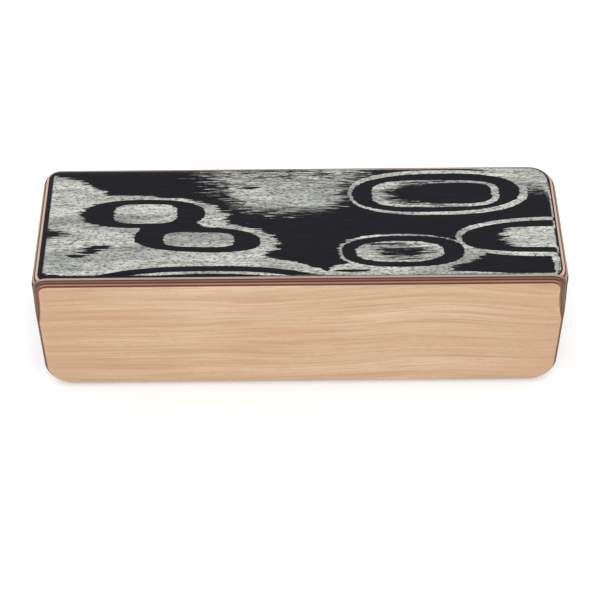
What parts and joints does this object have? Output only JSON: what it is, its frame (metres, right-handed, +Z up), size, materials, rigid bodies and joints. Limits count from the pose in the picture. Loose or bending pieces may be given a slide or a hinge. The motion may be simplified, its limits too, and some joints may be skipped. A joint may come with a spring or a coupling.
{
  "type": "hand shaker",
  "caption": "Box-shaped wooden hand shaker of laminated panels with rounded edges, beech sides, black and white figured lid, and loose steel shot sealed inside.",
  "frame": {"origin": "middle of the underside", "axes": "+X along the length, +Y from the front face to the back face, +Z up"},
  "size_m": [0.15, 0.047, 0.0455],
  "materials": {
    "beech_face": "oiled beech, long grain along X",
    "figured_veneer": "dyed black and white figured veneer, satin",
    "cross_grain_ply": "dark cross-grain veneer, end grain sanded",
    "long_grain_ply": "beech veneer, sanded edge",
    "pale_ply": "pale veneer, sanded edge",
    "steel_shot": "bright steel balls"
  },
  "bodies": {
    "case": {"front_face_sheet": "beech_face", "front_cross_ply_a": "cross_grain_ply", "front_long_ply_a": "long_grain_ply", "front_cross_ply_b": "cross_grain_ply", "front_long_ply_b": "long_grain_ply", "front_cross_ply_c": "cross_grain_ply", "front_inner_ply": "pale_ply", "back_face_sheet": "beech_face", "back_cross_ply_a": "cross_grain_ply", "back_long_ply_a": "long_grain_ply", "back_cross_ply_b": "cross_grain_ply", "back_long_ply_b": "long_grain_ply", "back_cross_ply_c": "cross_grain_ply", "back_inner_ply": "pale_ply", "lid_figured_sheet": "figured_veneer", "lid_outer_ply": "pale_ply", "lid_core_ply": "cross_grain_ply", "lid_inner_ply": "long_grain_ply", "floor_figured_sheet": "figured_veneer", "floor_outer_ply": "pale_ply", "floor_core_ply": "cross_grain_ply", "floor_inner_ply": "long_grain_ply", "left_figured_sheet": "figured_veneer", "left_outer_ply": "pale_ply", "left_core_ply": "cross_grain_ply", "left_inner_ply": "long_grain_ply", "right_figured_sheet": "figured_veneer", "right_outer_ply": "pale_ply", "right_core_ply": "cross_grain_ply", "right_inner_ply": "long_grain_ply"},
    "rolling_shot": {"shot_rolling": "steel_shot"},
    "swaying_shot": {"shot_swaying": "steel_shot"},
    "thrown_shot": {"shot_thrown": "steel_shot"}
  },
  "joints": [
    {"name": "shot_roll", "type": "slide", "parent": "case", "child": "rolling_shot", "axis": [1, 0, 0], "range_m": [-0.0241, 0.0241]},
    {"name": "shot_sway", "type": "slide", "parent": "rolling_shot", "child": "swaying_shot", "axis": [0, 1, 0], "range_m": [-0.0063, 0.0063]},
    {"name": "shot_throw", "type": "slide", "parent": "swaying_shot", "child": "thrown_shot", "axis": [0, 0, 1], "range_m": [0, 0.0361]}
  ]
}
